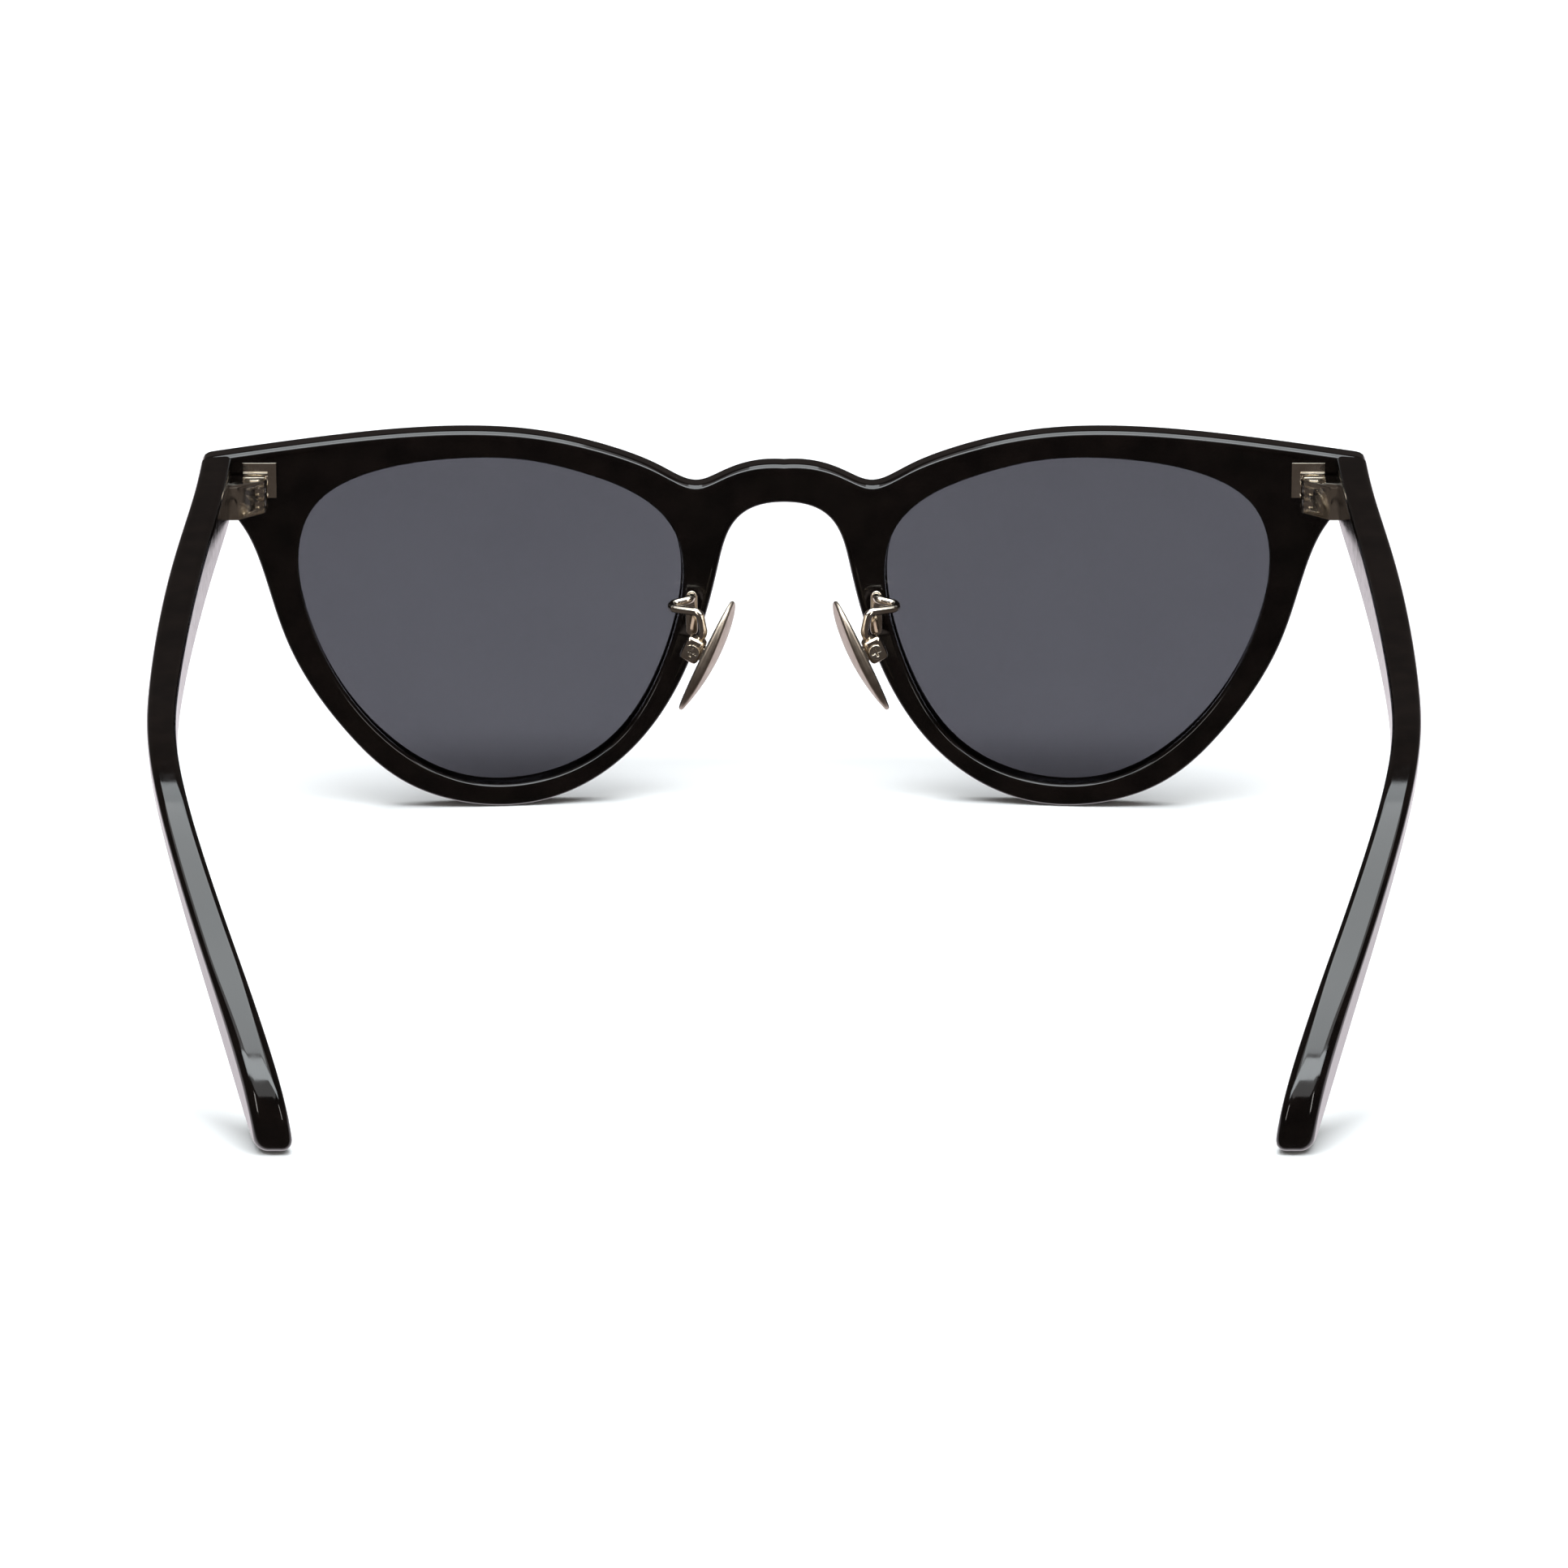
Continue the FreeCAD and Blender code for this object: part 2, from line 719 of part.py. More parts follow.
# ---------------------------------------------------------------- nose pads

MOUNT_X = "(bridge_width / 2 - mount_side)"
MOUNT_BACK = f"({back_face(MOUNT_X)} + mount_proud)"
SCREW_X = "(bridge_width / 2 - box_side)"
SCREW_Y = "box_behind"
SCREW_Z = "box_height"


def mount_solid(name, clearance):
    """The oblong mount plate let into the nose rim, or its seat."""
    half = "(mount_width / 2)"
    deep = f"mount_embed + mount_proud + {clearance}"
    front = f"{MOUNT_BACK} - mount_embed - mount_proud - {clearance}"
    straight = f"(mount_length / 2 - {half})"
    middle = box(
        name + "_middle",
        f"{MOUNT_X} - {half} - {clearance}",
        front,
        f"mount_height - {straight}",
        f"mount_width + 2 * {clearance}",
        deep,
        f"2 * {straight}",
    )
    ends = []
    for end, sign in (("top", "+"), ("bottom", "-")):
        level = f"mount_height {sign} {straight}"
        ends.append(rod(f"{name}_{end}", MOUNT_X, front, level, f"{half} + {clearance}", deep, roll=-90))
    return join(name, middle, *ends)


def make_pad_arm():
    """The bent wire from the mount plate to the pad box."""
    turn = FreeCAD.Rotation(-value("pad_yaw"), -value("pad_lean"), 0)
    frame = FreeCAD.Placement(vector(SCREW_X, SCREW_Y, SCREW_Z), turn)
    root_height = "mount_height + mount_length / 2 - arm_drop"
    loop_height = "mount_height + arm_rise"
    points = [
        vector(MOUNT_X, MOUNT_BACK, root_height),
        vector(MOUNT_X, f"{MOUNT_BACK} + arm_straight", root_height),
        vector(f"{MOUNT_X} + arm_loop", f"{MOUNT_BACK} + arm_swing", loop_height),
        vector(f"{MOUNT_X} - arm_return", f"{SCREW_Y} - arm_short", loop_height),
        frame.multVec(FreeCAD.Vector(value("arm_seat"), 0, value("box_tall / 2 + arm_bend"))),
        frame.multVec(FreeCAD.Vector(value("arm_seat"), 0, value("box_tall / 2"))),
    ]
    return bent_wire("left_pad_arm", points, value("arm_bend"), value("arm_radius"))


def pad_frame(item, x=0, y=0, z=0, roll=0):
    """Place an item about the pad screw: local X points away from the pad, Y along the screw."""
    turn = f"rotation({bound('0 - pad_yaw')}; {bound('0 - pad_lean')}; 0)"
    axis = f"vector({bound(SCREW_X)}; {bound(SCREW_Y)} - Sizes.overall_depth / 2; {bound(SCREW_Z)})"
    local = f"placement(vector({bound(x)}; {bound(y)}; {bound(z)}); rotation(0; 0; {roll}))"
    item.setExpression("Placement", f"placement({axis}; {turn}) * {local}")
    return item


def local_box(name, x, y, z, wide, deep, tall):
    """A box in the pad's own frame."""
    return pad_frame(box(name, 0, 0, 0, wide, deep, tall), x, y, z)


def local_rod(name, y, radius, height):
    """A cylinder on the pad screw's axis."""
    return pad_frame(rod(name, 0, 0, 0, radius, height), 0, y, 0, roll=-90)


def make_pad_box():
    """The box on the arm's end, slotted for the pad's lug and bored for its screw."""
    half = "(box_wide / 2)"
    slot_half = "(box_wide / 2 - box_wall)"
    outer = local_box(
        "box_outer", "0 - box_reach", f"0 - {half}", "0 - box_tall / 2",
        "box_reach + box_back + box_wall", "box_wide", "box_tall",
    )
    slot = local_box(
        "box_slot", "0 - box_reach - 1", f"0 - {slot_half}", "box_wall - box_tall / 2",
        "box_reach + 1 + box_back", f"2 * {slot_half}", "box_tall - 2 * box_wall",
    )
    bore = local_rod("box_bore", "0 - box_wide", "pad_screw_radius + screw_fit", "2 * box_wide")
    return cut("left_pad_box", outer, slot, bore)


def make_pad_screw():
    """The cross-headed screw through the box."""
    half = "(box_wide / 2)"
    shaft = local_rod("pad_shaft", f"0 - {half}", "pad_screw_radius", "box_wide")
    head = local_rod("pad_head", half, "pad_head_radius", "pad_head_height")
    bars = []
    for name, wide, tall in (
        ("flat", "cross_length", "cross_width"),
        ("upright", "cross_width", "cross_length"),
    ):
        bars.append(local_box(
            f"pad_driver_{name}", f"0 - {wide} / 2", f"{half} + pad_head_height - driver_slot",
            f"0 - {tall} / 2", wide, "2 * driver_slot", tall,
        ))
    return cut("left_pad_screw", join("pad_screw_solid", shaft, head), *bars)


def make_pad_lug(pad):
    """The tab on the pad's back that turns on the screw."""
    half = "(box_wide / 2 - box_wall - lug_gap)"
    eye = local_rod("lug_eye", f"0 - {half}", "lug_radius", f"2 * {half}")
    tab = local_box(
        "lug_tab", "0 - pad_stand - pad_thickness / 2", f"0 - {half}", "0 - lug_radius",
        "pad_stand + pad_thickness / 2", f"2 * {half}", "2 * lug_radius",
    )
    bore = local_rod("lug_bore", "0 - box_wide", "pad_screw_radius + knuckle_fit", "2 * box_wide")
    return cut("left_pad_lug", join("lug_solid", eye, tab), bore, pad)


# The pad's outline as shares of its half width and half length.
PAD_SHAPE = [
    (1.27, 0),
    (1.0, 0.8),
    (0, 1.25),
    (-1.0, 0.8),
    (-1.27, 0),
    (-1.0, -0.8),
    (0, -1.25),
    (1.0, -0.8),
]


def make_nose_pad():
    """The oval pad, flat towards the box and domed towards the nose."""
    body = new_body("pad_blank")
    sketch = new_sketch(body, "YZ_Plane")
    poles = [(f"{y} * pad_width / 2", f"{z} * pad_length / 2") for y, z in PAD_SHAPE]
    add_spline(sketch, poles, closed=True)
    extrude(body, sketch, "2 * pad_thickness", midplane=True)
    pad_frame(body, "0 - pad_stand - pad_thickness")
    ball = DOC.addObject("Part::Sphere", "pad_ball")
    ball.setExpression("Radius", "Sizes.pad_curve")
    pad_frame(ball, "pad_curve - pad_thickness - pad_stand")
    return overlap("left_nose_pad", body, ball)


# ---------------------------------------------------------------- assembly

def make_left_pieces():
    """Every piece that has a right-hand twin."""
    temple_seat = hinge_block("temple_hinge_seat", "screw_fit")
    pad = make_nose_pad()
    return [
        make_lens(),
        make_temple(temple_seat),
        make_temple_hinge(),
        make_front_hinge(),
        make_hinge_screw(),
        make_core("left_core_wire", "core_radius"),
        mount_solid("left_pad_mount", 0),
        make_pad_arm(),
        make_pad_box(),
        make_pad_screw(),
        make_pad_lug(pad),
        pad,
    ]


def check_document():
    """Stop if any object failed to compute."""
    for item in DOC.Objects:
        bad = [state for state in item.State if state in ("Invalid", "Error")]
        if bad:
            raise RuntimeError(f"{item.Name} is {bad}")


def check_solid(item):
    """Stop if a piece is missing, broken or not one solid."""
    shape = item.Shape
    if shape.isNull() or not shape.isValid() or len(shape.Solids) != 1:
        raise RuntimeError(f"{item.Label} has no valid single solid")


front_frame = make_front(plate_box("plate_seat", "screw_fit"), mount_solid("mount_seat", "screw_fit"))
left_pieces = make_left_pieces()
right_pieces = [mirror(piece.Label.replace("left", "right"), piece) for piece in left_pieces]
DOC.recompute()
check_document()
pieces = [front_frame] + left_pieces + right_pieces
for piece in pieces:
    check_solid(piece)
os.makedirs("parts", exist_ok=True)
for piece in pieces:
    piece.Shape.exportStep(f"parts/{piece.Label}.step")
    print(f"{piece.Label:20s} {piece.Shape.Volume:9.2f} mm3")
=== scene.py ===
import math

import bmesh
import bpy
import numpy as np
from mathutils import Euler, Matrix, Vector
from mathutils.geometry import delaunay_2d_cdt


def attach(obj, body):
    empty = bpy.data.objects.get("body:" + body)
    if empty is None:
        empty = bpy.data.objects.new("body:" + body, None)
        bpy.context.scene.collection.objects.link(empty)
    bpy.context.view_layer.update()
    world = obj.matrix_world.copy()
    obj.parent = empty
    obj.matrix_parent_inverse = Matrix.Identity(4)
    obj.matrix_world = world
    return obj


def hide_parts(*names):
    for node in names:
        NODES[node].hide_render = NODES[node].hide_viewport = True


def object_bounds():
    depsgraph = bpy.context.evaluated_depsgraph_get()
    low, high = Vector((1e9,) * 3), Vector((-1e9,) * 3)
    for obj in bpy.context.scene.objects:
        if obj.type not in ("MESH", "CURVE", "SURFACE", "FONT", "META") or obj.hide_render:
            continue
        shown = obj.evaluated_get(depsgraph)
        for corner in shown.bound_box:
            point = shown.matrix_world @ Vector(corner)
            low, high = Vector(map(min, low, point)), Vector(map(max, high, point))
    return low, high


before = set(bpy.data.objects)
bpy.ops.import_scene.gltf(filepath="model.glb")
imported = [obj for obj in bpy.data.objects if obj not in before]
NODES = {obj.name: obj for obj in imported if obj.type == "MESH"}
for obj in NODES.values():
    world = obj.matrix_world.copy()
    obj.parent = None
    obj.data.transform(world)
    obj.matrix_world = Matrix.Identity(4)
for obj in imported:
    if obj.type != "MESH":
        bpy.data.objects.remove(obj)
CAD_BOX = [list(corner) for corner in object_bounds()]

# Sizes of the design, in millimetres, as the CAD model has them.
MM = 0.001
LENS_WIDTH = 48.2
LENS_HEIGHT = 42.6
BRIDGE_WIDTH = 23.0
LENS_TONGUE = 0.75
LENS_THICKNESS = 1.8
LENS_CURVE = 265.0
LENS_FORWARD = 0.4
LENS_GAP = 0.02
LENS_CHAMFER = 0.15
GROOVE_GAP = 0.03
RIM_BOTTOM = 2.9
RIM_TOP = 3.2
RIM_SIDE = 3.9
END_PIECE = 11.25
FRONT_THICKNESS = 4.0
FRONT_CURVE = 355.0
BROW_DROP = 2.2
BRIDGE_DROP = 4.7
BRIDGE_HEIGHT = 4.8
CORNER_ROUNDING = 1.2
OUTER_ROUNDING = 0.9
OPENING_ROUNDING = 0.5
TEMPLE_TOP = 45.3
TEMPLE_HEIGHT = 7.5
TEMPLE_THICKNESS = 3.7
TEMPLE_GAP = 0.15
TEMPLE_STEP = 0.3
TEMPLE_ROUNDING = 0.85
TIP_ROUNDING = 0.5
TIP_LENGTH = 16.0
TIP_BLEND = 12.0
TEMPLE_TILT = math.radians(38.0)
PAD_LENGTH = 13.8
PAD_WIDTH = 7.0
PAD_THICKNESS = 1.6
PAD_CURVE = 26.0
PAD_STAND = 1.4
PAD_YAW = 12.0
PAD_LEAN = 25.0
PAD_ROUNDING = 0.45
PAD_SCREW = Vector((10.8, 10.0, 21.1))

# The front's outer face at the bridge, and the overall depth, come from the frame.
FRONT_Y = CAD_BOX[0][1] / MM
DEPTH = (CAD_BOX[1][1] - CAD_BOX[0][1]) / MM

HALF_OPEN_WIDTH = LENS_WIDTH / 2 - LENS_TONGUE
HALF_OPEN_HEIGHT = LENS_HEIGHT / 2 - LENS_TONGUE
LENS_X = (BRIDGE_WIDTH + LENS_WIDTH) / 2
LENS_Z = HALF_OPEN_HEIGHT + RIM_BOTTOM
FRONT_TOP = 2 * HALF_OPEN_HEIGHT + RIM_BOTTOM + RIM_TOP
HALF_FRONT = LENS_X + HALF_OPEN_WIDTH + END_PIECE
LENS_TURN = math.asin(LENS_X / FRONT_CURVE)
MIDDLE_RADIUS = FRONT_CURVE - FRONT_THICKNESS / 2
TEMPLE_OUTER_X = HALF_FRONT - TEMPLE_STEP
TEMPLE_INNER_X = TEMPLE_OUTER_X - TEMPLE_THICKNESS

# How fine the meshes are: spacings in millimetres, angles in degrees.
EDGE_STEPS = 6
EDGE_SPACING = 0.45
LENS_SPACING = 0.6
TEMPLE_SPACING = 0.55
PAD_SPACING = 0.25
LENS_RINGS = 22
FRONT_NET = 1.1
TEMPLE_NET = 1.2
PAD_NET = 0.5
LENS_SHARP = 35
METAL_SHARP = 38
EDGE_BREAK = 28


# ---------------------------------------------------------------- curves

def closed_spline(poles, count):
    """Points on a closed uniform cubic B-spline."""
    poles = np.array(poles, float)
    number = len(poles)
    points = []
    for place in np.linspace(0, number, count, endpoint=False):
        start = int(place)
        f = place - start
        weights = (
            (1 - f) ** 3 / 6,
            (3 * f ** 3 - 6 * f ** 2 + 4) / 6,
            (-3 * f ** 3 + 3 * f ** 2 + 3 * f + 1) / 6,
            f ** 3 / 6,
        )
        points.append(sum(w * poles[(start + k) % number] for k, w in enumerate(weights)))
    return np.array(points)


def open_spline(poles, count):
    """Points on a clamped uniform cubic B-spline."""
    poles = np.array(poles, float)
    spans = len(poles) - 3
    knots = [0] * 3 + list(range(spans + 1)) + [spans] * 3
    points = []
    for place in np.linspace(0, spans, count):
        span = min(int(place), spans - 1) + 3
        work = [poles[span - 3 + k] for k in range(4)]
        for level in range(1, 4):
            for k in range(3, level - 1, -1):
                low = knots[span - 3 + k]
                share = (place - low) / (knots[span + k - level + 1] - low)
                work[k] = (1 - share) * work[k - 1] + share * work[k]
        points.append(work[3])
    return np.array(points)


def even(points, spacing, closed=True):
    """The same line with evenly spaced points."""
    points = np.array(points, float)
    if closed:
        points = np.vstack([points, points[:1]])
    steps = np.hypot(*np.diff(points, axis=0).T)
    along = np.concatenate([[0], np.cumsum(steps)])
    count = max(8, int(round(along[-1] / spacing)))
    places = np.linspace(0, along[-1], count, endpoint=not closed)
    return np.column_stack([np.interp(places, along, points[:, k]) for k in (0, 1)])


def round_corner(before, corner, after, radius, count=8):
    """An arc that rounds the corner between two directions."""
    corner = np.array(corner, float)
    into = (corner - before) / np.linalg.norm(corner - before)
    out = (after - corner) / np.linalg.norm(after - corner)
    half_turn = math.acos(float(np.clip(into @ out, -1, 1))) / 2
    setback = radius * math.tan(half_turn)
    inward = (out - into) / np.linalg.norm(out - into)
    centre = corner + inward * radius / math.cos(half_turn)
    first = corner - into * setback - centre
    last = corner + out * setback - centre
    turn = math.atan2(first[0] * last[1] - first[1] * last[0], float(first @ last))
    arc = []
    for share in np.linspace(0, 1, count):
        c, s = math.cos(turn * share), math.sin(turn * share)
        arc.append(centre + (first[0] * c - first[1] * s, first[0] * s + first[1] * c))
    return np.array(arc), setback


def outward_normals(points):
    """Unit normals of a closed line, pointing out of the region it goes round."""
    ahead = np.roll(points, -1, axis=0) - np.roll(points, 1, axis=0)
    normals = np.column_stack([ahead[:, 1], -ahead[:, 0]])
    normals /= np.linalg.norm(normals, axis=1)[:, None]
    area = np.sum(points[:, 0] * np.roll(points[:, 1], -1) - np.roll(points[:, 0], -1) * points[:, 1])
    return normals if area > 0 else -normals


def inside(loop, points):
    """Which points lie inside a closed line."""
    hits = np.zeros(len(points), bool)
    for a, b in zip(loop, np.roll(loop, -1, axis=0)):
        crosses = (a[1] > points[:, 1]) != (b[1] > points[:, 1])
        with np.errstate(divide="ignore", invalid="ignore"):
            where = a[0] + (points[:, 1] - a[1]) * (b[0] - a[0]) / (b[1] - a[1])
        hits ^= crosses & (points[:, 0] < where)
    return hits


# ---------------------------------------------------------------- objects and meshes

def add_object(name, data):
    obj = bpy.data.objects.new(name, data)
    bpy.context.collection.objects.link(obj)
    return obj


def tidy_mesh(mesh, sharp_angle):
    """Faces turned outward, smooth apart from sharp edges."""
    work = bmesh.new()
    work.from_mesh(mesh)
    bmesh.ops.recalc_face_normals(work, faces=work.faces)
    for face in work.faces:
        face.smooth = True
    limit = math.radians(sharp_angle)
    for edge in work.edges:
        edge.smooth = len(edge.link_faces) == 2 and edge.calc_face_angle(0) < limit
    work.to_mesh(mesh)
    work.free()


# ---------------------------------------------------------------- polished plates

class Plate:
    """A polished sheet with rounded edges: loops of rings, and a fine net over each face."""

    def __init__(self):
        self.points = []
        self.normals = []
        self.spots = []
        self.faces = []
        self.rims = {"near": [], "far": []}

    def add(self, point, normal, spot):
        self.points.append(point)
        self.spots.append(spot)
        self.normals.append(normal / np.linalg.norm(normal))
        return len(self.points) - 1

    def bridge(self, one, two, flip):
        for a, b, c, d in zip(one, np.roll(one, -1), np.roll(two, -1), two):
            self.faces.append((a, d, c, b) if flip else (a, b, c, d))

    def edge(self, outline, near, far, spread, rounding, facing=None, hole=False, groove=None):
        """The rounded edge round one loop, from the near face to the far one."""
        normals = outward_normals(outline)
        if hole:
            normals = -normals
        rings = []
        steps = [("near", angle) for angle in np.linspace(90, 0, EDGE_STEPS + 1)]
        if groove:
            steps += [("groove", k) for k in range(4)]
        steps += [("far", angle) for angle in np.linspace(0, 90, EDGE_STEPS + 1)]
        for face, amount in steps:
            ring = []
            for place, normal in zip(outline, normals):
                side = np.array(spread(*normal))
                radius = rounding(*place)
                if face == "groove":
                    first, last = groove(*place)
                    inset = (0, -LENS_TONGUE, -LENS_TONGUE, 0)[amount] if hole else 0
                    level = (first, first, last, last)[amount]
                    spot = place + normal * inset
                    one, other = near(*spot), far(*spot)
                    across = (other - one) / np.linalg.norm(other - one)
                    ring.append(self.add(one + across * level, side, spot))
                    continue
                turn = math.radians(amount)
                inset = radius * (1 - math.cos(turn))
                depth = radius * (1 - math.sin(turn))
                spot = place - normal * inset
                one, other = near(*spot), far(*spot)
                across = (other - one) / np.linalg.norm(other - one)
                if face == "near":
                    point, out = one + across * depth, -across
                else:
                    point, out = other - across * depth, across
                if facing:
                    out = facing[face](*spot)
                    out = out / np.linalg.norm(out)
                ring.append(self.add(point, side * math.cos(turn) + out * math.sin(turn), spot))
            rings.append(ring)
        for one, two in zip(rings, rings[1:]):
            self.bridge(one, two, flip=False)
        self.rims["near"].append(rings[0])
        self.rims["far"].append(rings[-1])

    def cover(self, face, surface, spacing, out, flatten=None):
        """A fine net over one face, between the outer rim and the holes."""
        spots = [flatten(p) for p in self.points] if flatten else self.spots
        loops = [np.array([spots[k] for k in rim]) for rim in self.rims[face]]
        rim_ids = [k for rim in self.rims[face] for k in rim]
        low, high = loops[0].min(0), loops[0].max(0)
        across = np.arange(low[0] + spacing / 2, high[0], spacing)
        up = np.arange(low[1] + spacing / 2, high[1], spacing)
        shifts = (0, spacing / 2)
        grid = np.array([(a + shifts[row % 2], b) for row, b in enumerate(up) for a in across])
        keep = inside(loops[0], grid)
        for loop in loops[1:]:
            keep &= ~inside(loop, grid)
        rim_points = np.vstack(loops)
        batch = 500
        closest = 0.55 * spacing
        for start in range(0, len(grid), batch):
            part = grid[start:start + batch]
            gap = np.sqrt(((part[:, None] - rim_points[None]) ** 2).sum(2)).min(1)
            keep[start:start + batch] &= gap > closest
        grid = grid[keep]
        edges = []
        first = 0
        for loop in loops:
            count = len(loop)
            edges += [(first + k, first + (k + 1) % count) for k in range(count)]
            first += count
        flat = [Vector(p) for p in np.vstack([rim_points, grid])]
        made, _, faces, origin, _, _ = delaunay_2d_cdt(flat, edges, [], 0, 1e-7)
        ids = []
        for place, sources in zip(made, origin):
            known = [k for k in sources if k < len(rim_ids)]
            if known:
                ids.append(rim_ids[known[0]])
            else:
                ids.append(self.add(surface(*place), out(*place), place))
        centres = np.array([np.mean([made[k][:] for k in face_ids], axis=0) for face_ids in faces])
        keep = inside(loops[0], centres)
        for loop in loops[1:]:
            keep &= ~inside(loop, centres)
        for face_ids, kept in zip(faces, keep):
            if kept:
                self.faces.append(tuple(ids[k] for k in face_ids))

    def build(self, name, mirror=False, trim=None):
        """The mesh object, in metres, with its normals as designed and one end cut flat."""
        flip = np.array((-1 if mirror else 1, 1, 1))
        points = (np.array(self.points) + (0, FRONT_Y, 0)) * flip * MM
        normals = np.array(self.normals) * flip
        mesh = bpy.data.meshes.new(name)
        mesh.from_pydata([tuple(p) for p in points], [], self.faces)
        work = bmesh.new()
        work.from_mesh(mesh)
        kept = work.verts.layers.float_vector.new("designed_normal")
        for vert, normal in zip(work.verts, normals):
            vert[kept] = normal
        caps = set()
        if trim:
            spot = Vector((trim[0] + Vector((0, FRONT_Y, 0))) * MM)
            away = Vector(trim[1])
            for part in (spot, away):
                part.x *= flip[0]
            geometry = work.verts[:] + work.edges[:] + work.faces[:]
            bmesh.ops.bisect_plane(work, geom=geometry, plane_co=spot, plane_no=away, clear_outer=True)
            rim = [edge for edge in work.edges if edge.is_boundary]
            caps = set(bmesh.ops.edgenet_fill(work, edges=rim)["faces"])
        bmesh.ops.recalc_face_normals(work, faces=work.faces)
        if work.calc_volume(signed=True) < 0:
            bmesh.ops.reverse_faces(work, faces=work.faces)
        corners = []
        for face in work.faces:
            face.smooth = True
            for vert in face.verts:
                corners.append(tuple(face.normal if face in caps else vert[kept].normalized()))
        work.to_mesh(mesh)
        work.free()
        mesh.normals_split_custom_set(corners)
        return add_object(name, mesh)


# ---------------------------------------------------------------- front

def on_front(x, z, depth, turn=0.0):
    """A point of the curved front, at a depth behind the outer face."""
    radius = FRONT_CURVE - depth
    y = math.sqrt(radius ** 2 - x ** 2)
    c, s = math.cos(turn), math.sin(turn)
    return np.array([x * c + y * s, FRONT_CURVE - (y * c - x * s), z])


def lens_outline(half_width, half_height, spacing):
    """The lens outline about its own centre."""
    shape = [
        (0.99, -0.02), (1.08, 0.90), (0.03, 1.03), (-0.43, 0.92), (-1.12, 0.60),
        (-0.86, -0.50), (-0.49, -0.96), (0.16, -1.07), (0.66, -0.65),
    ]
    poles = [(x * half_width, z * half_height) for x, z in shape]
    return even(closed_spline(poles, 720), spacing)


def front_outline(spacing):
    """The outer outline of the front, all the way round."""
    rim_x = HALF_OPEN_WIDTH + RIM_SIDE
    rim_z = HALF_OPEN_HEIGHT + RIM_BOTTOM
    bridge = BRIDGE_WIDTH / 2
    bridge_top = FRONT_TOP - BRIDGE_DROP
    bridge_under = bridge_top - BRIDGE_HEIGHT
    corner = (HALF_FRONT, FRONT_TOP - BROW_DROP)
    brow = open_spline([
        (0, bridge_top),
        (0.47 * bridge, bridge_top + 0.4),
        (0.90 * bridge, bridge_top - 4.3),
        (1.27 * bridge, bridge_top - 0.2),
        (LENS_X - 0.33 * rim_x, FRONT_TOP - 1.0),
        (LENS_X + 0.02 * rim_x, FRONT_TOP + 0.15),
        (LENS_X + 0.46 * rim_x, FRONT_TOP),
        (LENS_X + 0.88 * rim_x, FRONT_TOP - 0.5 * BROW_DROP),
        corner,
    ], 400)
    lower = open_spline([
        corner,
        (HALF_FRONT - 0.3, corner[1] - 4.0),
        (LENS_X + 1.03 * rim_x, LENS_Z + 0.59 * rim_z),
        (LENS_X + 0.94 * rim_x, LENS_Z - 0.085 * rim_z),
        (LENS_X + 0.64 * rim_x, LENS_Z - 0.61 * rim_z),
        (LENS_X + 0.34 * rim_x, LENS_Z - 0.95 * rim_z),
        (LENS_X - 0.20 * rim_x, LENS_Z - 1.05 * rim_z),
        (LENS_X - 0.63 * rim_x, LENS_Z - 0.77 * rim_z),
        (LENS_X - 0.89 * rim_x, LENS_Z - 0.30 * rim_z),
        (LENS_X - 1.02 * rim_x, LENS_Z + 0.26 * rim_z),
        (0.56 * bridge, bridge_under),
        (0, bridge_under),
    ], 800)
    arc, setback = round_corner(brow[-6], corner, lower[6], CORNER_ROUNDING)
    gap = np.hypot(*(brow - corner).T)
    brow = brow[gap > setback]
    gap = np.hypot(*(lower - corner).T)
    lower = lower[gap > setback]
    half = np.vstack([brow, arc, lower])
    other = half[::-1][1:-1] * (-1, 1)
    return even(np.vstack([half, other]), spacing)


def lens_level(u, w, sign):
    """How far the lens's outer (-1) or inner (+1) face is behind the front's outer face."""
    radius = LENS_CURVE - sign * LENS_THICKNESS / 2
    v = LENS_CURVE - LENS_FORWARD - math.sqrt(radius ** 2 - u ** 2 - w ** 2)
    return FRONT_CURVE - math.hypot(u, MIDDLE_RADIUS - v)


def make_front():
    plate = Plate()
    plate.edge(
        front_outline(EDGE_SPACING),
        lambda x, z: on_front(x, z, 0),
        lambda x, z: on_front(x, z, FRONT_THICKNESS),
        lambda a, b: (a, 0, b),
        lambda x, z: OUTER_ROUNDING,
    )
    for sign in (1, -1):
        outline = lens_outline(HALF_OPEN_WIDTH, HALF_OPEN_HEIGHT, EDGE_SPACING) * (sign, 1)
        turn = sign * LENS_TURN
        plate.edge(
            outline,
            lambda u, w, turn=turn: on_front(u, LENS_Z + w, 0, turn),
            lambda u, w, turn=turn: on_front(u, LENS_Z + w, FRONT_THICKNESS, turn),
            lambda a, b, turn=turn: (a * math.cos(turn), a * math.sin(turn), b),
            lambda u, w: OPENING_ROUNDING,
            hole=True,
            groove=lambda u, w: (lens_level(u, w, -1) - GROOVE_GAP, lens_level(u, w, 1) + GROOVE_GAP),
        )
    plate.cover(
        "near",
        lambda x, z: on_front(x, z, 0),
        FRONT_NET,
        lambda x, z: np.array([x, -math.sqrt(FRONT_CURVE ** 2 - x ** 2), 0]),
        flatten=lambda p: (p[0], p[2]),
    )
    plate.cover(
        "far",
        lambda x, z: on_front(x, z, FRONT_THICKNESS),
        FRONT_NET,
        lambda x, z: np.array([-x, math.sqrt(FRONT_CURVE ** 2 - x ** 2), 0]),
        flatten=lambda p: (p[0], p[2]),
    )
    front = plate.build("acetate_front")
    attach(front, "front")
    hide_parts("front_frame")
    return front


# ---------------------------------------------------------------- lenses

